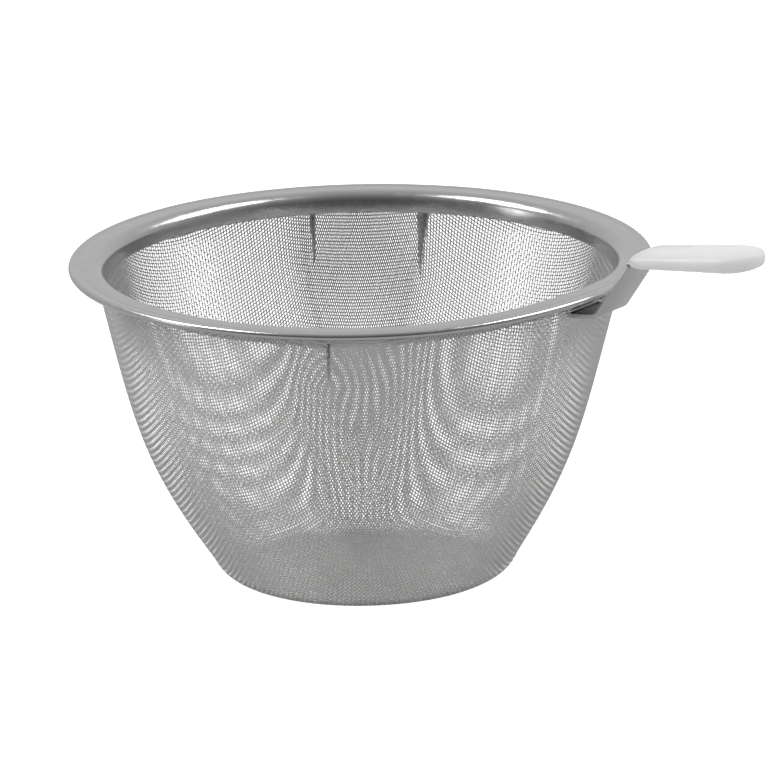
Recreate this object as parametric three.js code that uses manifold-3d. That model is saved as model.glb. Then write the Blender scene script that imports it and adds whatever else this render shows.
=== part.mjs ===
// A small basket strainer for a cup or teapot: a drawn wire-cloth basket hung from a flanged
// steel rim, with a bent strap and a plastic grip at one side.
// Millimetres, +Z up. The origin is the centre of the basket's flat bottom, and the handle
// points along +X.
import * as THREE from 'three';
import { mergeVertices } from 'three/addons/utils/BufferGeometryUtils.js';
import Module from 'manifold-3d';

// Driving dimensions
const TURN_STEPS = 60;
const RIM_TOP = 47.8;
const RIM_R = 42.5;
const SHEET = 0.4;

const COLLAR_BOTTOM_R = 36.9;
const COLLAR_DEPTH = 3.1;
const COLLAR_CORNER_R = 1.8;
const COLLAR_SLOPE = THREE.MathUtils.degToRad(10);

const BEAD_R = 0.5;
const BEAD_RISE = 0.04;
const GROOVE_R = 41.05;
const GROOVE_HALF_WIDTH = 0.3;
const GROOVE_DEPTH = 0.05;

const CLOTH = 0.4;
const CLOTH_GAP = 0.1;
const CLOTH_TOP_DEPTH = 1.4;
const CLOTH_INNER_R = 37.8;
const BASKET_FLAT_R = 15.5;
const BASKET_CORNER_R = 22.5;
const BASKET_CORNER_Z = 3.4;
const BASKET_CORNER_PULL = { r: 21.3, z: 0 };
const BASKET_UPPER_PULL = { r: 33.1, z: 24.5 };
const BASKET_LOWER_PULL = { r: 32.6, z: 18.7 };

const BAND = 0.4;
const BAND_TOP_DEPTH = 0.8;
const BAND_HEIGHT = 1.1;
const SEAT_INNER_R = 39.3;

const STRAP = 0.7;
const STRAP_WIDTH = 7.4;
const STRAP_BEND_R = 0.9;
const FOOT_DEPTH = { top: 0.7, bottom: 2.4 };
const RISER_START = { r: 43.8, depth: 1.85 };
const RISER_END = { r: 50, rise: 7 };
const WELD_GAP = 0.3;
const NECK_R = 48.6;
const TONGUE_SLOPE = THREE.MathUtils.degToRad(6.5);
const TONGUE_LENGTH = 9;
const TONGUE_WIDTH = 6;

const GRIP_START_R = 49.5;
const GRIP_LENGTH = 20;
const GRIP_WIDTH = 9.2;
const GRIP_START_THICKNESS = 2.4;
const GRIP_END_THICKNESS = 3.4;
const GRIP_EDGE_R = 0.8;
const GRIP_CORNER_R = 1.6;
const POCKET_CLEARANCE = 0.3;

const COLLAR_FACE = COLLAR_DEPTH - COLLAR_CORNER_R * (1 - Math.sin(COLLAR_SLOPE));
const COLLAR_TOP_R = COLLAR_BOTTOM_R + COLLAR_FACE * Math.tan(COLLAR_SLOPE);
const FLANGE_INNER_R = COLLAR_TOP_R + COLLAR_CORNER_R * Math.cos(COLLAR_SLOPE);
const CLOTH_OUTER_R = CLOTH_INNER_R + CLOTH;
const BAND_INNER_R = CLOTH_OUTER_R + CLOTH_GAP;
const BAND_OUTER_R = BAND_INNER_R + BAND;
const FLANGE_UNDERSIDE = RIM_TOP - SHEET;
const GRIP_START_Z = RIM_TOP + RISER_END.rise + (GRIP_START_R - RISER_END.r) * Math.tan(TONGUE_SLOPE);

// How finely curves are cut into straight steps
const SECTION_STEPS = 4;
const WALL_STEPS = 9;
const CORNER_STEPS = 4;
const GRIP_OUTLINE_STEPS = 5;
const GRIP_BEVEL_STEPS = 2;

const polishedSteel = new THREE.MeshStandardMaterial({ color: 0xb9bbbc, roughness: 0.25, metalness: 1 });
const wireCloth = new THREE.MeshStandardMaterial({ color: 0xa9abad, roughness: 0.35, metalness: 1 });
const whitePlastic = new THREE.MeshStandardMaterial({ color: 0xf1f2f3, roughness: 0.4, metalness: 0 });

const point = (r, z) => new THREE.Vector2(r, z);

function solidOf(wasm, geometry) {
  geometry.deleteAttribute('normal');
  geometry.deleteAttribute('uv');
  const merged = mergeVertices(geometry, 1e-4);
  return new wasm.Manifold(new wasm.Mesh({
    numProp: 3,
    vertProperties: new Float32Array(merged.attributes.position.array),
    triVerts: new Uint32Array(merged.index.array),
  }));
}

function geometryOf(solid) {
  const mesh = solid.getMesh();
  const geometry = new THREE.BufferGeometry();
  geometry.setAttribute('position', new THREE.BufferAttribute(mesh.vertProperties, 3));
  geometry.setIndex(new THREE.BufferAttribute(mesh.triVerts, 1));
  return geometry;
}

// Turns a closed outline of (radius, height) points about the upright axis.
function turned(outline) {
  const geometry = new THREE.LatheGeometry(outline, TURN_STEPS);
  geometry.rotateX(Math.PI / 2);
  return geometry;
}

function closed(points) {
  return [...points, points[0].clone()];
}

// The curve moved sideways by a distance, to its left as it is walked.
function offset(points, distance) {
  return points.map((here, i) => {
    const before = points[Math.max(i - 1, 0)];
    const after = points[Math.min(i + 1, points.length - 1)];
    const along = after.clone().sub(before).normalize();
    return point(here.x - along.y * distance, here.y + along.x * distance);
  });
}

// Flange, rolled edge, groove and collar in one section. The flat under the flange starts afresh
// outside the band, where a cup's lip bears on it.
function rimRing() {
  const beadCentreR = RIM_R - BEAD_R;
  const beadCentreZ = RIM_TOP + BEAD_RISE - BEAD_R;
  const beadStart = Math.PI - Math.asin((RIM_TOP - beadCentreZ) / BEAD_R);
  const beadEnd = Math.PI + Math.asin((beadCentreZ - FLANGE_UNDERSIDE) / BEAD_R);
  const cornerStart = Math.PI - COLLAR_SLOPE;
  const cornerZ = RIM_TOP - COLLAR_CORNER_R;

  const section = new THREE.Path();
  section.moveTo(COLLAR_BOTTOM_R, RIM_TOP - COLLAR_DEPTH);
  section.absarc(FLANGE_INNER_R, cornerZ, COLLAR_CORNER_R, cornerStart, Math.PI / 2, true);
  section.lineTo(GROOVE_R - GROOVE_HALF_WIDTH, RIM_TOP);
  section.lineTo(GROOVE_R, RIM_TOP - GROOVE_DEPTH);
  section.lineTo(GROOVE_R + GROOVE_HALF_WIDTH, RIM_TOP);
  section.absarc(beadCentreR, beadCentreZ, BEAD_R, beadStart, beadEnd, true);
  section.lineTo(SEAT_INNER_R, FLANGE_UNDERSIDE);
  section.absarc(FLANGE_INNER_R, cornerZ, COLLAR_CORNER_R - SHEET, Math.PI / 2, cornerStart, false);
  section.lineTo(COLLAR_BOTTOM_R + SHEET / Math.cos(COLLAR_SLOPE), RIM_TOP - COLLAR_DEPTH);
  return turned(closed(section.getPoints(SECTION_STEPS).reverse()));
}

// The cloth as one thin shell with a flat bottom, open at the top.
function meshBasket() {
  const wall = new THREE.CubicBezierCurve(
    point(CLOTH_OUTER_R, RIM_TOP - COLLAR_DEPTH - CLOTH_GAP),
    point(BASKET_UPPER_PULL.r, BASKET_UPPER_PULL.z),
    point(BASKET_LOWER_PULL.r, BASKET_LOWER_PULL.z),
    point(BASKET_CORNER_R, BASKET_CORNER_Z),
  );
  const corner = new THREE.QuadraticBezierCurve(
    point(BASKET_CORNER_R, BASKET_CORNER_Z),
    point(BASKET_CORNER_PULL.r, BASKET_CORNER_PULL.z),
    point(BASKET_FLAT_R, 0),
  );
  const top = RIM_TOP - CLOTH_TOP_DEPTH;
  const outside = [
    point(CLOTH_OUTER_R, top),
    ...wall.getPoints(WALL_STEPS),
    ...corner.getPoints(CORNER_STEPS).slice(1),
  ];
  const inside = offset(outside, -CLOTH);
  inside[0].set(CLOTH_INNER_R, top);
  inside[inside.length - 1].set(BASKET_FLAT_R, CLOTH);
  return turned([point(0, 0), ...outside.reverse(), ...inside, point(0, CLOTH)]);
}

// The plain band that clamps the top of the cloth on the collar.
function retainingBand() {
  const top = RIM_TOP - BAND_TOP_DEPTH;
  return turned(closed([
    point(BAND_INNER_R, top - BAND_HEIGHT),
    point(BAND_OUTER_R, top - BAND_HEIGHT),
    point(BAND_OUTER_R, top),
    point(BAND_INNER_R, top),
  ]));
}

// A line through the corners, with each corner inside it rounded.
function roundedLine(corners, bend) {
  const line = new THREE.Path();
  line.moveTo(corners[0].x, corners[0].y);
  for (let i = 1; i < corners.length - 1; i += 1) {
    const here = corners[i];
    const arrive = corners[i - 1].clone().sub(here).setLength(bend).add(here);
    const leave = corners[i + 1].clone().sub(here).setLength(bend).add(here);
    line.lineTo(arrive.x, arrive.y);
    line.quadraticCurveTo(here.x, here.y, leave.x, leave.y);
  }
  line.lineTo(corners.at(-1).x, corners.at(-1).y);
  return line.getPoints(SECTION_STEPS);
}

// The bent strip: a foot beside the band, a run under the flange, a riser and a tongue.
function strip(thickness, width, tongueLength) {
  const footR = BAND_OUTER_R + WELD_GAP + STRAP / 2;
  const riserEnd = point(RISER_END.r, RIM_TOP + RISER_END.rise);
  const tongue = point(Math.cos(TONGUE_SLOPE), Math.sin(TONGUE_SLOPE)).multiplyScalar(tongueLength);
  const centreline = roundedLine([
    point(footR, RIM_TOP - FOOT_DEPTH.top),
    point(footR, RIM_TOP - FOOT_DEPTH.bottom),
    point(RISER_START.r, RIM_TOP - RISER_START.depth),
    riserEnd,
    tongue.add(riserEnd),
  ], STRAP_BEND_R);
  const edge = new THREE.Shape([
    ...offset(centreline, thickness / 2),
    ...offset(centreline, -thickness / 2).reverse(),
  ]);
  const geometry = new THREE.ExtrudeGeometry(edge, { depth: width, bevelEnabled: false });
  geometry.rotateX(Math.PI / 2);
  geometry.translate(0, width / 2, 0);
  return geometry;
}

// The strip with both sides cut back beyond the neck, to leave a narrow tongue for the grip.
function handleStrap(wasm) {
  let strap = solidOf(wasm, strip(STRAP, STRAP_WIDTH, TONGUE_LENGTH));
  for (const side of [-1, 1]) {
    const waste = new THREE.BoxGeometry(2 * TONGUE_LENGTH, STRAP_WIDTH, 2 * TONGUE_LENGTH);
    waste.translate(
      NECK_R + TONGUE_LENGTH,
      side * (TONGUE_WIDTH + STRAP_WIDTH) / 2,
      RIM_TOP + RISER_END.rise,
    );
    strap = strap.subtract(solidOf(wasm, waste));
  }
  return geometryOf(strap);
}

// The grip's outline from above: a square inner end with rounded corners, and a round outer end.
function gripOutline(inset) {
  const half = GRIP_WIDTH / 2 - inset;
  const corner = GRIP_CORNER_R - inset;
  const cornerX = GRIP_CORNER_R;
  const outline = new THREE.Shape();
  outline.absarc(cornerX, corner - half, corner, -Math.PI, -Math.PI / 2, false);
  outline.absarc(GRIP_LENGTH - GRIP_WIDTH / 2, 0, half, -Math.PI / 2, Math.PI / 2, false);
  outline.absarc(cornerX, half - corner, corner, Math.PI / 2, Math.PI, false);
  return outline;
}

// The grip lies along +X from its inner end and gets thicker towards its outer end. It is then
// tilted and lifted on to the tongue.
function grip(wasm) {
  const body = new THREE.ExtrudeGeometry(gripOutline(GRIP_EDGE_R), {
    depth: GRIP_START_THICKNESS - 2 * GRIP_EDGE_R,
    bevelThickness: GRIP_EDGE_R,
    bevelSize: GRIP_EDGE_R,
    bevelSegments: GRIP_BEVEL_STEPS,
    curveSegments: GRIP_OUTLINE_STEPS,
  });
  body.translate(0, 0, GRIP_EDGE_R - GRIP_START_THICKNESS / 2);
  const corners = body.attributes.position;
  const growth = GRIP_END_THICKNESS / GRIP_START_THICKNESS - 1;
  for (let i = 0; i < corners.count; i += 1) {
    corners.setZ(i, corners.getZ(i) * (1 + growth * corners.getX(i) / GRIP_LENGTH));
  }
  const pocket = strip(
    STRAP + 2 * POCKET_CLEARANCE,
    TONGUE_WIDTH + 2 * POCKET_CLEARANCE,
    TONGUE_LENGTH + POCKET_CLEARANCE,
  );
  pocket.translate(-GRIP_START_R, 0, -GRIP_START_Z);
  pocket.rotateY(TONGUE_SLOPE);
  return geometryOf(solidOf(wasm, body).subtract(solidOf(wasm, pocket)));
}

const wasm = await Module();
wasm.setup();

function part(name, geometry, material) {
  const mesh = new THREE.Mesh(geometry, material);
  mesh.name = name;
  return mesh;
}

const gripMesh = part('grip', grip(wasm), whitePlastic);
gripMesh.rotation.y = -TONGUE_SLOPE;
gripMesh.position.set(GRIP_START_R, 0, GRIP_START_Z);

const group = new THREE.Group();
group.add(
  part('rim_ring', rimRing(), polishedSteel),
  part('mesh_basket', meshBasket(), wireCloth),
  part('retaining_band', retainingBand(), polishedSteel),
  part('handle_strap', handleStrap(wasm), polishedSteel),
  gripMesh,
);

export default group;
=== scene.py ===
"""Looks for the basket strainer: woven wire basket, pressed steel rim, strap and white grip."""

import math

import bpy
import numpy as np
from mathutils import Matrix, Vector


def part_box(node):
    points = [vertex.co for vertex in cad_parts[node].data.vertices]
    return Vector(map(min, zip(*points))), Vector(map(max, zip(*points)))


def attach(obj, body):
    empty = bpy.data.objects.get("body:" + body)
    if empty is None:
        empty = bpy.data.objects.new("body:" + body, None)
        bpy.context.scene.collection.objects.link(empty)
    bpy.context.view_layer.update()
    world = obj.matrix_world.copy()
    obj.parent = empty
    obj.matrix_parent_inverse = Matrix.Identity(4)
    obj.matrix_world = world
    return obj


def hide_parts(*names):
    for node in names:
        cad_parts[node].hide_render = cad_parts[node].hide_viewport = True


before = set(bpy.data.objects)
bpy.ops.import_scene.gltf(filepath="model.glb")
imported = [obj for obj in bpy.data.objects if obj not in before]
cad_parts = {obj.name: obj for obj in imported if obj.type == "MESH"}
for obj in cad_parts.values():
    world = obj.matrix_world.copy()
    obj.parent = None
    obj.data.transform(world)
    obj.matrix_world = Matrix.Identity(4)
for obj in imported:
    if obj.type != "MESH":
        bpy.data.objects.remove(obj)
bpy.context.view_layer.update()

MM = 0.001
TINY = 1e-9

# Materials
STEEL_GREY = 0.60
STEEL_ROUGHNESS = (0.17, 0.27)
BAND_ROUGHNESS = (0.25, 0.38)
WIRE_GREY = 0.79
WIRE_ROUGHNESS = 0.33
# Painted shade laid on the strap's upper face in the gap under the rim
UNDER_RIM_SHADE = (0.13, 0.127, 0.122)
PLASTIC_DULL = (0.90, 0.905, 0.91)
PLASTIC_BRIGHT = (0.94, 0.942, 0.945)
# Painted shade: the grey of the band over the tongue in the grip
PLASTIC_PAINTED_SHADE = (0.72, 0.725, 0.73)
PLASTIC_ROUGHNESS = (0.30, 0.40)
PLASTIC_DEPTH = 14 * MM
PLASTIC_IOR = 1.49

# Camera: where it stands and what it looks at
VIEW_AZIMUTH = math.radians(36)
VIEW_ELEVATION = math.radians(16.05)
VIEW_ROLL = math.radians(1.2)
VIEW_DISTANCE = 1.1
VIEW_LENS = 348.8
AIM_RIGHT = 4.33 * MM
AIM_DOWN = 19.43 * MM

# Rim, as in the CAD model
BEAD_RISE = 0.04 * MM
RIM_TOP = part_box("rim_ring")[1].z - BEAD_RISE
RIM_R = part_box("rim_ring")[1].x
SHEET = 0.4 * MM
COLLAR_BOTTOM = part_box("rim_ring")[0].z
COLLAR_BOTTOM_R = 36.9 * MM
COLLAR_CORNER = 1.8 * MM
COLLAR_SLOPE = math.radians(10)
FLANGE_INNER_R = 38.96 * MM
BEAD_R = 0.5 * MM
BEAD_GAP = 0.8 * MM
GROOVE_R = 41.05 * MM
GROOVE_ARC_R = 1.2 * MM
GROOVE_ARC_RISE = 1.16 * MM
CORNER_GAP = 0.3 * MM
BAND = 0.4 * MM
BAND_EDGE_R = 0.12 * MM
RING_STEPS = 360

# Waves that pressing leaves in the ring: size, number around it, phase
PRESS_WAVES = [(0.5, 5, 0.6), (0.35, 11, 2.1), (0.25, 23, 4)]
PRESS_SIDEWAYS = 0.02 * MM
PRESS_UPWARDS = 0.015 * MM

# The rim is bent up a little where the handle is welded on
LIFT = 0.65 * MM
LIFT_CENTRE = math.radians(-6)
LIFT_REACH = math.radians(24)
LIFT_FADE = 14 * MM

# Cloth
PITCH = 0.508 * MM
WIRE_R = 0.091 * MM
WIRE_SIDES = 6
CLOTH_TURN = math.radians(81)
CLOTH_HALF = 0.2 * MM
WIRE_UNEVENNESS = 0.018 * MM
WIRE_SEED = 7
PIECES_PER_WAY = 4
SWAY = 0.45 * MM

# Control points of the basket's outline, in millimetres
WALL_CURVE = [(38.2, 44.6), (33.1, 24.5), (32.6, 18.7), (22.5, 3.4)]
CORNER_CURVE = [(22.5, 3.4), (21.3, 0), (15.5, 0)]
CURVE_GAP = 0.1 * MM

# How far past the cloth's edge its surface, its net and its crossings are worked out
SURFACE_SPARE = 12 * MM
NET_SPARE = 8 * MM
EDGE_SPARE = 3 * MM
SLOPE_WINDOW = 41

# Pleats: azimuth in degrees, length down the wall, depth (outwards if above 0), half width
PLEATS = [
    (111.3, 9.8 * MM, 2.4 * MM, 0.9 * MM),
    (136.7, 7.6 * MM, 1.5 * MM, 0.34 * MM),
    (299.15, 6.3 * MM, -1.3 * MM, 0.36 * MM),
]
PLEAT_FADE = 0.8 * MM
GATHER_REACH = 5 * MM

# Handle
STRAP_HALF_WIDTH = 3.7 * MM
STRAP_HALF = 0.35 * MM
STRAP_EDGE_R = 0.1 * MM
STRAP_STEP = 0.25 * MM
BEND_REACH = 0.75 * MM
FOOT_R = 39.05 * MM
FOOT_DEPTH = 2.4 * MM
FOOT_GAP = 0.1 * MM
RISER_START_R = 43.8 * MM
RISER_START_DEPTH = 1.85 * MM
NECK_R = 49.6 * MM
NECK_LENGTH = 0.3 * MM
TONGUE_HALF_WIDTH = 3 * MM
TONGUE_SLOPE = math.radians(6.5)
RISER_TOP_R = 50 * MM
RISER_TOP_Z = RIM_TOP + 7 * MM
TONGUE_LENGTH = 9 * MM
TONGUE_TIP = 1.2 * MM
# How far out from the axis the painted shade under the rim reaches on the strap, and how softly it
# fades
UNDER_RIM_SHADE_END = 42 * MM
UNDER_RIM_SHADE_FADE = 1 * MM
GRIP_START_R = 49.5 * MM
GRIP_LENGTH = 20 * MM
GRIP_HALF_WIDTH = 4.6 * MM
GRIP_START_HALF = 1.2 * MM
GRIP_END_HALF = 1.7 * MM
GRIP_NOSE = 1.7 * MM
GRIP_GAP = 0.6 * MM
GRIP_SIDES = 48
GRIP_SQUARENESS = 0.72
GRIP_START_FULLNESS = 0.7
GRIP_END_FULLNESS = 0.55

# Painted shade on the grip, a greyer band over the tongue: along it, across it, and how softly it fades
SHADED_ALONG = (GRIP_START_R + 2.5 * MM, RISER_TOP_R + 5.5 * MM)
SHADED_ACROSS = (1 * MM, TONGUE_HALF_WIDTH)
SHADED_FADE_ALONG = 4 * MM
SHADED_FADE_ACROSS = 2.4 * MM

# Studio
ROOM_NEAR = 0.08
ROOM_FAR = 0.64
FLOOR_GREY = 0.5
FLOOR_GLOW = 0.95
FLOOR_HALF = 4.0
LIGHT_DISTANCE = 0.9
LIGHTS = [
    ("right softbox", (0.58, -0.15, 0.78), (0.30, 0.45), 3.6),
    ("left softbox", (-0.58, -0.10, 0.80), (0.30, 0.45), 3.6),
    ("side window", (-0.95, 0.22, 0.25), (0.22, 0.35), 0.4),
]


# ---------------------------------------------------------------- mesh helpers


def mesh_object(name, points, faces, material, smooth=True):
    """A mesh object from an array of points and an array of faces with equal corner counts."""
    points = np.asarray(points, np.float32)
    faces = np.asarray(faces, np.int32)
    corners = faces.shape[1]
    mesh = bpy.data.meshes.new(name)
    mesh.vertices.add(len(points))
    mesh.vertices.foreach_set("co", points.ravel())
    mesh.loops.add(faces.size)
    mesh.loops.foreach_set("vertex_index", faces.ravel())
    mesh.polygons.add(len(faces))
    mesh.polygons.foreach_set("loop_start", np.arange(len(faces), dtype=np.int32) * corners)
    mesh.polygons.foreach_set("use_smooth", np.full(len(faces), smooth))
    mesh.update(calc_edges=True)
    mesh.materials.append(material)
    made = bpy.data.objects.new(name, mesh)
    bpy.context.scene.collection.objects.link(made)
    return made


def grid_faces(rows, columns, close_rows=False):
    """Quads over a grid of points stored row by row, with each row closed into a ring."""
    i = np.arange(rows if close_rows else rows - 1)[:, None]
    j = np.arange(columns)[None, :]
    i, j = np.broadcast_arrays(i, j)
    next_i = (i + 1) % rows
    next_j = (j + 1) % columns
    quads = np.stack(
        [i * columns + j, i * columns + next_j, next_i * columns + next_j, next_i * columns + j], -1
    )
    return quads.reshape(-1, 4)


def bezier(points, count):
    """count points along a Bezier curve with any number of control points."""
    t = np.linspace(0, 1, count)[:, None]
    level = [np.asarray(p, float)[None, :] for p in points]
    while len(level) > 1:
        level = [a * (1 - t) + b * t for a, b in zip(level, level[1:])]
    return level[0] * np.ones_like(t)


def arc(centre, radius, start, end, count):
    """count points on an arc, with angles in degrees."""
    a = np.radians(np.linspace(start, end, count))
    return np.stack([centre[0] + radius * np.cos(a), centre[1] + radius * np.sin(a)], 1)


# ---------------------------------------------------------------- materials


def material(name):
    made = bpy.data.materials.new(name)
    made.use_nodes = True
    tree = made.node_tree
    return made, tree, tree.nodes["Principled BSDF"]


def noise(tree, scale, detail):
    """The factor socket of a noise in object space."""
    where = tree.nodes.new("ShaderNodeTexCoord")
    texture = tree.nodes.new("ShaderNodeTexNoise")
    texture.inputs["Scale"].default_value = scale
    texture.inputs["Detail"].default_value = detail
    tree.links.new(where.outputs["Object"], texture.inputs["Vector"])
    return texture.outputs["Fac"]


def ranged(tree, factor, low, high):
    """factor, from its usual 0.3 to 0.7, spread from low to high."""
    spread = tree.nodes.new("ShaderNodeMapRange")
    spread.inputs["From Min"].default_value = 0.3
    spread.inputs["From Max"].default_value = 0.7
    spread.inputs["To Min"].default_value = low
    spread.inputs["To Max"].default_value = high
    tree.links.new(factor, spread.inputs["Value"])
    return spread.outputs["Result"]


def blended(tree, factor, dark, light):
    """A colour between two greys or colours."""
    mix = tree.nodes.new("ShaderNodeMix")
    mix.data_type = "RGBA"
    mix.inputs["A"].default_value = (*dark, 1)
    mix.inputs["B"].default_value = (*light, 1)
    tree.links.new(factor, mix.inputs["Factor"])
    return mix.outputs["Result"]


def bumped(tree, shader, height, distance):
    bump = tree.nodes.new("ShaderNodeBump")
    bump.inputs["Distance"].default_value = distance
    tree.links.new(height, bump.inputs["Height"])
    tree.links.new(bump.outputs["Normal"], shader.inputs["Normal"])


def between(tree, value, low, high, soft):
    """1 where value lies between low and high, falling softly to 0 outside."""
    edges = []
    for start, end in ((low - soft, low), (high + soft, high)):
        edge = tree.nodes.new("ShaderNodeMapRange")
        edge.interpolation_type = "SMOOTHSTEP"
        edge.inputs["From Min"].default_value = start
        edge.inputs["From Max"].default_value = end
        tree.links.new(value, edge.inputs["Value"])
        edges.append(edge.outputs["Result"])
    return product(tree, *edges)


def product(tree, first, second):
    times = tree.nodes.new("ShaderNodeMath")
    times.operation = "MULTIPLY"
    times.use_clamp = True
    tree.links.new(first, times.inputs[0])
    tree.links.new(second, times.inputs[1])
    return times.outputs[0]


def tinted(tree, shader, factor, colour):
    """Lays a colour over the shader's base colour where factor is 1."""
    clean = shader.inputs["Base Color"].links[0].from_socket
    mix = tree.nodes.new("ShaderNodeMix")
    mix.data_type = "RGBA"
    mix.inputs["B"].default_value = (*colour, 1)
    tree.links.new(factor, mix.inputs["Factor"])
    tree.links.new(clean, mix.inputs["A"])
    tree.links.new(mix.outputs["Result"], shader.inputs["Base Color"])


def place_axes(tree, output):
    """The X, Y and Z sockets of one of the texture coordinates."""
    where = tree.nodes.new("ShaderNodeTexCoord")
    axes = tree.nodes.new("ShaderNodeSeparateXYZ")
    tree.links.new(where.outputs[output], axes.inputs[0])
    return axes.outputs


def sheet_steel(name, roughness=STEEL_ROUGHNESS):
    """Cold-rolled stainless sheet: even grey with faint clouding and fine rolling marks."""
    made, tree, shader = material(name)
    shader.inputs["Metallic"].default_value = 1
    clouds = noise(tree, 140, 4)
    low = STEEL_GREY - 0.03
    high = STEEL_GREY + 0.02
    tint = blended(tree, clouds, (low, low, low * 0.995), (high, high, high * 0.99))
    tree.links.new(tint, shader.inputs["Base Color"])
    tree.links.new(ranged(tree, noise(tree, 420, 5), *roughness), shader.inputs["Roughness"])
    bumped(tree, shader, noise(tree, 900, 3), 0.004 * MM)
    return made


def paint_under_rim_shade(tree, shader):
    """Painted shade: darkens the strap's upper faces out to near the rim's edge, where they lie in the
    shadow of the gap under the flange.
    """
    along = between(tree, place_axes(tree, "Object")["X"], 0, UNDER_RIM_SHADE_END, UNDER_RIM_SHADE_FADE)
    under_rim_shade_mask = product(tree, along, place_axes(tree, "Normal")["Z"])
    tinted(tree, shader, under_rim_shade_mask, UNDER_RIM_SHADE)


def drawn_wire():
    """Bright drawn stainless wire."""
    made, tree, shader = material("drawn wire")
    shader.inputs["Base Color"].default_value = (WIRE_GREY, WIRE_GREY, WIRE_GREY * 0.99, 1)
    shader.inputs["Metallic"].default_value = 1
    shader.inputs["Roughness"].default_value = WIRE_ROUGHNESS
    return made


def milky_plastic():
    """White moulded plastic that lets light in, a little greyer in soft patches, with painted shade in
    a band over the tongue.
    """
    made, tree, shader = material("milky plastic")
    shader.inputs["Subsurface Weight"].default_value = 1
    shader.inputs["Subsurface Radius"].default_value = (1.0, 1.0, 1.0)
    shader.inputs["Subsurface Scale"].default_value = PLASTIC_DEPTH
    shader.inputs["IOR"].default_value = PLASTIC_IOR
    tint = blended(tree, noise(tree, 110, 2), PLASTIC_DULL, PLASTIC_BRIGHT)
    tree.links.new(tint, shader.inputs["Base Color"])
    roughness = ranged(tree, noise(tree, 240, 2), *PLASTIC_ROUGHNESS)
    tree.links.new(roughness, shader.inputs["Roughness"])
    place = place_axes(tree, "Object")
    along = between(tree, place["X"], *SHADED_ALONG, SHADED_FADE_ALONG)
    across = between(tree, place["Y"], *SHADED_ACROSS, SHADED_FADE_ACROSS)
    # Painted shade: a greyer band along the grip over the tongue
    tinted(tree, shader, product(tree, along, across), PLASTIC_PAINTED_SHADE)
    return made


# ---------------------------------------------------------------- rim and band


def turned(name, section, body_material, wave):
    """A ring with a closed (radius, height) section, turned about the upright axis and bent by wave."""
    section = np.asarray(section)
    angle = np.arange(RING_STEPS) * 2 * math.pi / RING_STEPS
    radius = np.repeat(section[None, :, 0], RING_STEPS, 0)
    height = np.repeat(section[None, :, 1], RING_STEPS, 0)
    radius, height = wave(angle[:, None], radius, height)
    points = np.stack(
        [radius * np.cos(angle)[:, None], radius * np.sin(angle)[:, None], height], -1
    )
    faces = grid_faces(RING_STEPS, len(section), close_rows=True)
    return mesh_object(name, points.reshape(-1, 3), faces, body_material)


def level(start, end, height):
    """Points along a level line of the rim's section."""
    return np.stack([np.linspace(start, end, 6), np.full(6, height)], 1)


def rim_section():
    """Collar, rounded corner, flange with its groove, and rolled edge, as one closed outline."""
    corner = (FLANGE_INNER_R, RIM_TOP - COLLAR_CORNER)
    slope = math.degrees(COLLAR_SLOPE)
    bead = (RIM_R - BEAD_R, RIM_TOP + BEAD_RISE - BEAD_R)
    lip = SHEET / 2
    groove = arc((GROOVE_R, RIM_TOP + GROOVE_ARC_RISE), GROOVE_ARC_R, 255, 285, 9)
    return np.concatenate([
        arc((COLLAR_BOTTOM_R + lip, COLLAR_BOTTOM + lip), lip, 360 - slope, 180 - slope, 9),
        arc(corner, COLLAR_CORNER, 180 - slope, 90, 20),
        level(corner[0] + CORNER_GAP, groove[0, 0] - CORNER_GAP, RIM_TOP),
        groove,
        arc(bead, BEAD_R, 113, -166, 30),
        level(bead[0] - BEAD_GAP, corner[0] + CORNER_GAP, RIM_TOP - SHEET),
        arc(corner, COLLAR_CORNER - SHEET, 90, 180 - slope, 10),
    ])


def lifted(angle):
    """How far the rim is bent up at an angle about the upright axis."""
    away = (angle - LIFT_CENTRE + math.pi) % (2 * math.pi) - math.pi
    return LIFT * np.exp(-((away / LIFT_REACH) ** 2))


def hand_pressed(angle, radius, height):
    """The slight waves that pressing and rolling leave in a thin ring."""
    wave = sum(size * np.sin(count * angle + phase) for size, count, phase in PRESS_WAVES)
    inner = np.clip((RIM_R - radius) / (RIM_R - COLLAR_BOTTOM_R), 0, 1)
    radius = radius + PRESS_SIDEWAYS * wave * inner
    height = height + PRESS_UPWARDS * wave * (1 - inner) + lifted(angle)
    return radius, height


def make_rim():
    rim = turned("rim", rim_section(), sheet_steel("rim steel"), hand_pressed)
    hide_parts("rim_ring")
    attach(rim, "root")


def only_lifted(angle, radius, height):
    return radius, height + lifted(angle)


def make_band():
    low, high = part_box("retaining_band")
    outer = high.x
    inner = outer - BAND
    edge = BAND_EDGE_R
    section = np.concatenate([
        arc((inner + edge, low.z + edge), edge, 180, 270, 4),
        arc((outer - edge, low.z + edge), edge, 270, 360, 4),
        arc((outer - edge, high.z - edge), edge, 0, 90, 4),
        arc((inner + edge, high.z - edge), edge, 90, 180, 4),
    ])
    band = turned("band", section, sheet_steel("band steel", BAND_ROUGHNESS), only_lifted)
    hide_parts("retaining_band")
    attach(band, "root")


# ---------------------------------------------------------------- wire cloth


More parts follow.
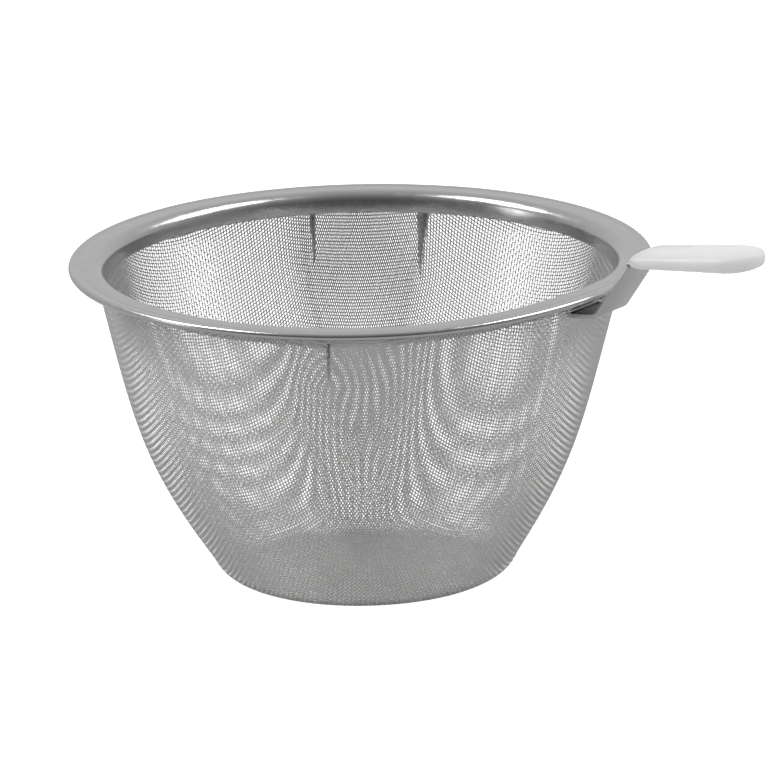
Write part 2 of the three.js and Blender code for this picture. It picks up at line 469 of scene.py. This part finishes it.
class Meridian:
    """The cloth's middle line in a plane through the axis, by arc length from the bottom's centre."""

    def __init__(self):
        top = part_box("mesh_basket")[1]
        wall = bezier(WALL_CURVE, 400) * MM
        corner = bezier(CORNER_CURVE, 120) * MM
        collar = np.stack([np.full(20, top.x), np.linspace(top.z, wall[0, 1] + CURVE_GAP, 20)], 1)
        flat = np.stack([np.linspace(corner[-1, 0], 0, 60)[1:], np.zeros(59)], 1)
        outside = np.concatenate([collar, wall, corner[1:], flat])[::-1]
        along = np.gradient(outside, axis=0)
        along /= np.linalg.norm(along, axis=1)[:, None]
        middle = outside + CLOTH_HALF * np.stack([-along[:, 1], along[:, 0]], 1)
        middle[:, 0] = np.maximum(middle[:, 0], 0)
        steps = np.linalg.norm(np.diff(middle, axis=0), axis=1)
        length = np.concatenate([[0], np.cumsum(steps)])
        self.length = length[-1]
        self.flat_radius = corner[-1, 0]
        self.s = np.linspace(0, self.length + SURFACE_SPARE, 4000)
        self.r = np.interp(self.s, length, middle[:, 0])
        above = np.maximum(self.s - self.length, 0)
        self.z = np.interp(self.s, length, middle[:, 1]) + above
        soften = np.ones(SLOPE_WINDOW) / SLOPE_WINDOW
        margin = SLOPE_WINDOW // 2
        slopes = [np.pad(np.gradient(v, self.s), margin, mode="edge") for v in (self.r, self.z)]
        self.dr, self.dz = [np.convolve(v, soften, "valid") for v in slopes]

    def point(self, s, angle):
        r = np.interp(s, self.s, self.r)
        return np.stack([r * np.cos(angle), r * np.sin(angle), np.interp(s, self.s, self.z)], -1)

    def tangents(self, s, angle):
        """The changes of point() with s and with angle."""
        r = np.interp(s, self.s, self.r)
        dr = np.interp(s, self.s, self.dr)
        dz = np.interp(s, self.s, self.dz)
        along = np.stack([dr * np.cos(angle), dr * np.sin(angle), dz], -1)
        around = np.stack([-r * np.sin(angle), r * np.cos(angle), np.zeros_like(r)], -1)
        return along, around


def crossing(line, a, b, s, angle):
    """The place on the surface one pitch from both a and b, by Newton's method from a first guess."""
    for _ in range(12):
        here = line.point(s, angle)
        along, around = line.tangents(s, angle)
        to_a = here - a
        to_b = here - b
        miss_a = (to_a * to_a).sum(-1) - PITCH**2
        miss_b = (to_b * to_b).sum(-1) - PITCH**2
        a_s = 2 * (to_a * along).sum(-1)
        a_t = 2 * (to_a * around).sum(-1)
        b_s = 2 * (to_b * along).sum(-1)
        b_t = 2 * (to_b * around).sum(-1)
        det = a_s * b_t - a_t * b_s
        s = s - (miss_a * b_t - miss_b * a_t) / det
        angle = angle - (a_s * miss_b - b_s * miss_a) / det
    return s, angle


def quarter_net(line):
    """Arc lengths and angles of the crossings in one quarter of the cloth.

    Every cell keeps its four equal sides and only shears, as wire cloth does when it is drawn.
    """
    count = int((line.length + NET_SPARE) / PITCH)
    s = np.full((count + 1, count + 1), np.nan)
    angle = np.full_like(s, np.nan)
    steps = np.arange(count + 1) * PITCH
    s[:, 0] = steps
    s[0, :] = steps
    angle[:, 0] = 0
    angle[0, :] = math.pi / 2
    for diagonal in range(2, 2 * count + 1):
        i = np.arange(max(1, diagonal - count), min(count, diagonal - 1) + 1)
        j = diagonal - i
        radius = np.hypot(i, j) * PITCH
        flat = radius < line.flat_radius
        s[i[flat], j[flat]] = radius[flat]
        angle[i[flat], j[flat]] = np.arctan2(j[flat], i[flat])
        near = np.fmin(s[i - 1, j], s[i, j - 1]) < line.length + EDGE_SPARE
        known = ~flat & near & np.isfinite(s[i - 1, j] + s[i, j - 1])
        i, j = i[known], j[known]
        if len(i):
            a = line.point(s[i - 1, j], angle[i - 1, j])
            b = line.point(s[i, j - 1], angle[i, j - 1])
            guess_s = s[i - 1, j] + s[i, j - 1] - s[i - 1, j - 1]
            guess_angle = angle[i - 1, j] + angle[i, j - 1] - angle[i - 1, j - 1]
            s[i, j], angle[i, j] = crossing(line, a, b, guess_s, guess_angle)
    return s, angle


def whole_net(line):
    """The quarter mirrored into the other three, turned to the cloth's direction."""
    s, angle = quarter_net(line)
    half_s = np.concatenate([s[:0:-1], s])
    half_angle = np.concatenate([math.pi - angle[:0:-1], angle])
    full_s = np.concatenate([half_s[:, :0:-1], half_s], 1)
    full_angle = np.concatenate([-half_angle[:, :0:-1], half_angle], 1)
    return full_s, full_angle + CLOTH_TURN


def pleated(line, s, angle):
    """Points of the cloth with the pleats that take up the spare cloth under the collar."""
    edge = np.interp(COLLAR_BOTTOM, line.z, line.s)
    down = edge - s
    out = np.zeros_like(s)
    radius = np.maximum(np.interp(s, line.s, line.r), TINY)
    for azimuth, length, depth, width in PLEATS:
        fade = np.clip(1 - down / length, 0, 1) * np.clip(1 + down / PLEAT_FADE, 0, 1)
        fold = np.abs(depth) * fade
        mouth = width * fade
        turn = (angle - math.radians(azimuth) + math.pi) % (2 * math.pi) - math.pi
        side = np.sign(turn)
        across = np.abs(turn) * radius
        inside = across < fold
        wall = mouth * across / np.maximum(fold, TINY)
        beyond = across - (fold - mouth) * np.exp(-(across - fold) / GATHER_REACH)
        moved = np.where(inside, wall, np.maximum(beyond, mouth))
        angle = angle + side * (moved - across) / radius
        out = out + np.where(inside, (fold - across) * np.sign(depth), 0)
    points = line.point(s, angle)
    share = np.clip(points[..., 2] / RIM_TOP, 0, 1)
    sway = SWAY * np.sin(math.pi * share)
    points[..., 0] += out * np.cos(angle) - sway * math.cos(VIEW_AZIMUTH)
    points[..., 1] += out * np.sin(angle) - sway * math.sin(VIEW_AZIMUTH)
    points[..., 2] += lifted(angle) * np.clip(1 - down / LIFT_FADE, 0, 1) ** 2
    return points


def unit(vectors):
    return vectors / np.maximum(np.linalg.norm(vectors, axis=-1, keepdims=True), 1e-12)


def make_cloth():
    """Warp and weft as separate round wires, over and under by turns, in a few groups of wires."""
    line = Meridian()
    s, angle = whole_net(line)
    centre = pleated(line, s, angle)
    warp_way = unit(np.gradient(centre, axis=1))
    weft_way = unit(np.gradient(centre, axis=0))
    uneven = np.random.default_rng(WIRE_SEED)
    centre = centre + warp_way * uneven.normal(0, WIRE_UNEVENNESS, (1, s.shape[1], 1))
    centre = centre + weft_way * uneven.normal(0, WIRE_UNEVENNESS, (s.shape[0], 1, 1))
    normal = unit(np.cross(weft_way, warp_way))
    i, j = np.indices(s.shape)
    weave = np.where((i + j) % 2 == 0, WIRE_R, -WIRE_R)[..., None]
    used = s <= line.length
    wire_material = drawn_wire()
    stand_in = []
    for way, lift, middle, normals, kept in (
        ("warp", weave, centre, normal, used),
        ("weft", -weave.swapaxes(0, 1), centre.swapaxes(0, 1), normal.swapaxes(0, 1), used.T),
    ):
        points = middle + normals * lift
        for number, members in enumerate(group_wires(kept), 1):
            name = f"{way}_wires_{number}"
            piece = wires(name, points, normals, kept, members, wire_material)
            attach(piece, "root")
            stand_in.append(piece)
    for piece in stand_in:
        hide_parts("mesh_basket")


def group_wires(kept):
    """Neighbouring wires in groups with about as many crossings each."""
    crossings = kept.sum(1)
    filled = np.nonzero(crossings >= 3)[0]
    share = np.cumsum(crossings[filled]) / crossings[filled].sum()
    group = np.minimum((share * PIECES_PER_WAY).astype(int), PIECES_PER_WAY - 1)
    return [filled[group == n] for n in range(PIECES_PER_WAY)]


def wires(name, points, normals, kept, members, wire_material):
    """Round tubes along rows of points, with closed ends, as one mesh."""
    turn = np.arange(WIRE_SIDES) * 2 * math.pi / WIRE_SIDES
    all_points = []
    all_faces = []
    start = 0
    for row in members:
        run = np.nonzero(kept[row])[0]
        path = points[row, run[0] : run[-1] + 1]
        up = normals[row, run[0] : run[-1] + 1]
        along = unit(np.gradient(path, axis=0))
        side = unit(np.cross(along, up))
        up = np.cross(side, along)
        upward = up[:, None] * np.cos(turn)[None, :, None]
        sideways = side[:, None] * np.sin(turn)[None, :, None]
        ring = path[:, None] + WIRE_R * (upward + sideways)
        tips = np.stack([np.repeat(path[:1], WIRE_SIDES, 0), np.repeat(path[-1:], WIRE_SIDES, 0)])
        tube = np.concatenate([tips[:1], ring, tips[1:]])
        all_points.append(tube.reshape(-1, 3))
        all_faces.append(grid_faces(len(tube), WIRE_SIDES) + start)
        start += len(tube) * WIRE_SIDES
    return mesh_object(name, np.concatenate(all_points), np.concatenate(all_faces), wire_material)


# ---------------------------------------------------------------- strap and grip


def rounded_line(corners, reach):
    """Points along a line through the corners, with each inner corner rounded."""
    corners = [np.asarray(c, float) for c in corners]
    pieces = [corners[:1]]
    for before, here, after in zip(corners, corners[1:], corners[2:]):
        arrive = here + reach * unit(before - here)
        leave = here + reach * unit(after - here)
        pieces.append(bezier([arrive, here, leave], 12))
    pieces.append(corners[-1:])
    return np.concatenate(pieces)


def resampled(line, gap):
    """The same line with points about a gap apart."""
    length = np.concatenate([[0], np.cumsum(np.linalg.norm(np.diff(line, axis=0), axis=1))])
    at = np.linspace(0, length[-1], int(length[-1] / gap) + 1)
    return np.stack([np.interp(at, length, column) for column in line.T], 1), at, length[-1]


def strap_line():
    """The strap's middle line in the XZ plane: foot, run, riser and tongue, in metres."""
    riser_top = np.array([RISER_TOP_R, RISER_TOP_Z])
    tongue = riser_top + TONGUE_LENGTH * np.array([math.cos(TONGUE_SLOPE), math.sin(TONGUE_SLOPE)])
    corners = [
        (FOOT_R, RIM_TOP + LIFT - SHEET - FOOT_GAP),
        (FOOT_R, RIM_TOP - FOOT_DEPTH),
        (RISER_START_R, RIM_TOP - RISER_START_DEPTH),
        riser_top,
        tongue,
    ]
    return rounded_line(corners, BEND_REACH)


def make_strap():
    """A flat strip bent three times, with rolled edges, narrower where the grip is pushed on."""
    line, at, length = resampled(strap_line(), STRAP_STEP)
    along = unit(np.gradient(line, axis=0))
    out = np.stack([-along[:, 1], along[:, 0]], 1)
    narrow = np.clip((line[:, 0] - NECK_R) / NECK_LENGTH, 0, 1)
    change = TONGUE_HALF_WIDTH - STRAP_HALF_WIDTH
    half_width = STRAP_HALF_WIDTH + change * narrow**2 * (3 - 2 * narrow)
    tip = np.clip((length - at) / TONGUE_TIP, 0, 1)
    half_width = half_width * (0.8 + 0.2 * np.sqrt(1 - (1 - tip) ** 2))
    edge = STRAP_EDGE_R
    rings = []
    for middle, normal, wide in zip(line, out, half_width):
        section = []
        for (side_y, side_n), start in (((1, 1), 0), ((-1, 1), 90), ((-1, -1), 180), ((1, -1), 270)):
            centre = (side_y * (wide - edge), side_n * (STRAP_HALF - edge))
            section.append(arc(centre, edge, start, start + 90, 5))
        section = np.concatenate(section)
        offset = section[:, 1:2] * normal[None, :]
        rings.append(np.stack([middle[0] + offset[:, 0], section[:, 0], middle[1] + offset[:, 1]], 1))
    rings = capped(np.array(rings))
    faces = grid_faces(len(rings), rings.shape[1])
    steel = sheet_steel("strap steel")
    # Painted shade on the strap's upper face in the gap under the rim
    paint_under_rim_shade(steel.node_tree, steel.node_tree.nodes["Principled BSDF"])
    strap = mesh_object("strap", rings.reshape(-1, 3), faces, steel)
    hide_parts("handle_strap")
    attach(strap, "root")


def capped(rings):
    """Rings with a slightly rounded cap at each end, drawn in to the middle."""
    first = rings[:1]
    last = rings[-1:]
    middle_first = first.mean(1, keepdims=True)
    middle_last = last.mean(1, keepdims=True)
    shrunk_first = [middle_first + (first - middle_first) * k for k in (0.0, 0.6)]
    shrunk_last = [middle_last + (last - middle_last) * k for k in (0.6, 0.0)]
    return np.concatenate([*shrunk_first, rings, *shrunk_last])


def make_grip():
    """A slim pillow of plastic, nearly square at the strap and round at its free end."""
    nose = GRIP_NOSE
    round_start = GRIP_LENGTH - GRIP_HALF_WIDTH
    stations = np.concatenate([
        nose * (1 - np.cos(np.radians(np.linspace(4, 90, 12)))),
        np.linspace(nose + GRIP_GAP, round_start - GRIP_GAP, 14),
        GRIP_LENGTH - GRIP_HALF_WIDTH * (1 - np.sin(np.radians(np.linspace(0, 88, 20)))),
    ])
    start = np.sqrt(1 - (1 - np.clip(stations / nose, 0, 1)) ** 2)
    end = np.sqrt(1 - np.clip((stations - GRIP_LENGTH + GRIP_HALF_WIDTH) / GRIP_HALF_WIDTH, 0, 1) ** 2)
    half_width = GRIP_HALF_WIDTH * end - nose * (1 - start)
    thick = GRIP_START_HALF + (GRIP_END_HALF - GRIP_START_HALF) * stations / GRIP_LENGTH
    half_height = thick * start**GRIP_START_FULLNESS * end**GRIP_END_FULLNESS
    turn = np.arange(GRIP_SIDES) * 2 * math.pi / GRIP_SIDES
    y = np.sign(np.cos(turn)) * np.abs(np.cos(turn)) ** GRIP_SQUARENESS
    z = np.sign(np.sin(turn)) * np.abs(np.sin(turn)) ** GRIP_SQUARENESS
    rings = np.stack([
        np.repeat(stations[:, None], len(turn), 1),
        half_width[:, None] * y[None, :],
        half_height[:, None] * z[None, :],
    ], -1)
    rings = capped(rings)
    cos, sin = math.cos(TONGUE_SLOPE), math.sin(TONGUE_SLOPE)
    start_z = RISER_TOP_Z + (GRIP_START_R - RISER_TOP_R) * math.tan(TONGUE_SLOPE)
    points = np.stack([
        GRIP_START_R + rings[..., 0] * cos - rings[..., 2] * sin,
        rings[..., 1],
        start_z + rings[..., 0] * sin + rings[..., 2] * cos,
    ], -1)
    faces = grid_faces(len(rings), rings.shape[1])
    grip = mesh_object("handle_grip", points.reshape(-1, 3), faces, milky_plastic())
    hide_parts("grip")
    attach(grip, "root")


# ---------------------------------------------------------------- studio


def view_axes():
    """Right, towards the camera along the floor, and up."""
    right = Vector((math.cos(VIEW_AZIMUTH), math.sin(VIEW_AZIMUTH), 0))
    near = Vector((math.sin(VIEW_AZIMUTH), -math.cos(VIEW_AZIMUTH), 0))
    return right, near, Vector((0, 0, 1))


def make_camera():
    right, near, up = view_axes()
    back = near * math.cos(VIEW_ELEVATION) + up * math.sin(VIEW_ELEVATION)
    rise = back.cross(right)
    across = right * math.cos(VIEW_ROLL) - rise * math.sin(VIEW_ROLL)
    rise = back.cross(across)
    aim = Vector((0, 0, RIM_TOP)) + across * AIM_RIGHT - rise * AIM_DOWN
    data = bpy.data.cameras.new("camera")
    data.lens = VIEW_LENS
    data.clip_end = 20
    camera = bpy.data.objects.new("camera", data)
    camera.matrix_world = Matrix.Translation(aim + back * VIEW_DISTANCE) @ Matrix(
        (across, rise, back)
    ).transposed().to_4x4()
    bpy.context.scene.collection.objects.link(camera)
    bpy.context.scene.camera = camera


def softbox(name, way, size, power):
    """An area light that faces the strainer from a direction given as right, near and up."""
    right, near, up = view_axes()
    towards = (right * way[0] + near * way[1] + up * way[2]).normalized()
    data = bpy.data.lights.new(name, "AREA")
    data.shape = "RECTANGLE"
    data.size, data.size_y = size
    data.energy = power
    light = bpy.data.objects.new(name, data)
    light.location = Vector((0, 0, RIM_TOP / 2)) + towards * LIGHT_DISTANCE
    light.rotation_euler = towards.to_track_quat("Z", "Y").to_euler()
    bpy.context.scene.collection.objects.link(light)


def make_world():
    """White to the camera, and a soft grey room to everything else, lighter behind the strainer."""
    world = bpy.data.worlds.new("studio")
    world.use_nodes = True
    tree = world.node_tree
    tree.nodes.clear()
    where = tree.nodes.new("ShaderNodeTexCoord")
    dot = tree.nodes.new("ShaderNodeVectorMath")
    dot.operation = "DOT_PRODUCT"
    dot.inputs[1].default_value = -view_axes()[1]
    tree.links.new(where.outputs["Generated"], dot.inputs[0])
    spread = tree.nodes.new("ShaderNodeMapRange")
    spread.inputs["From Min"].default_value = -1
    spread.inputs["To Min"].default_value = ROOM_NEAR
    spread.inputs["To Max"].default_value = ROOM_FAR
    tree.links.new(dot.outputs["Value"], spread.inputs["Value"])
    room = tree.nodes.new("ShaderNodeBackground")
    tree.links.new(spread.outputs["Result"], room.inputs["Color"])
    paper = tree.nodes.new("ShaderNodeBackground")
    paper.inputs["Color"].default_value = (1, 1, 1, 1)
    rays = tree.nodes.new("ShaderNodeLightPath")
    mix = tree.nodes.new("ShaderNodeMixShader")
    output = tree.nodes.new("ShaderNodeOutputWorld")
    tree.links.new(rays.outputs["Is Camera Ray"], mix.inputs[0])
    tree.links.new(room.outputs[0], mix.inputs[1])
    tree.links.new(paper.outputs[0], mix.inputs[2])
    tree.links.new(mix.outputs[0], output.inputs["Surface"])
    bpy.context.scene.world = world


def make_floor():
    """A pale floor that stays white to the camera, with a soft shadow under the strainer."""
    paper = bpy.data.materials.new("paper")
    paper.use_nodes = True
    tree = paper.node_tree
    tree.nodes.clear()
    rays = tree.nodes.new("ShaderNodeLightPath")
    matt = tree.nodes.new("ShaderNodeBsdfDiffuse")
    matt.inputs["Color"].default_value = (FLOOR_GREY, FLOOR_GREY, FLOOR_GREY, 1)
    glow = tree.nodes.new("ShaderNodeEmission")
    glow.inputs["Strength"].default_value = FLOOR_GLOW
    seen = tree.nodes.new("ShaderNodeAddShader")
    mix = tree.nodes.new("ShaderNodeMixShader")
    output = tree.nodes.new("ShaderNodeOutputMaterial")
    tree.links.new(matt.outputs[0], seen.inputs[0])
    tree.links.new(glow.outputs[0], seen.inputs[1])
    tree.links.new(rays.outputs["Is Camera Ray"], mix.inputs[0])
    tree.links.new(matt.outputs[0], mix.inputs[1])
    tree.links.new(seen.outputs[0], mix.inputs[2])
    tree.links.new(mix.outputs[0], output.inputs["Surface"])
    half = FLOOR_HALF
    corners = [(-half, -half, 0), (half, -half, 0), (half, half, 0), (-half, half, 0)]
    floor = mesh_object("floor", corners, [(0, 1, 2, 3)], paper, smooth=False)


def make_studio():
    bpy.context.scene.view_settings.view_transform = "Standard"
    make_world()
    make_floor()
    for name, way, size, power in LIGHTS:
        softbox(name, way, size, power)


make_camera()
make_studio()
make_rim()
make_band()
make_cloth()
make_strap()
make_grip()
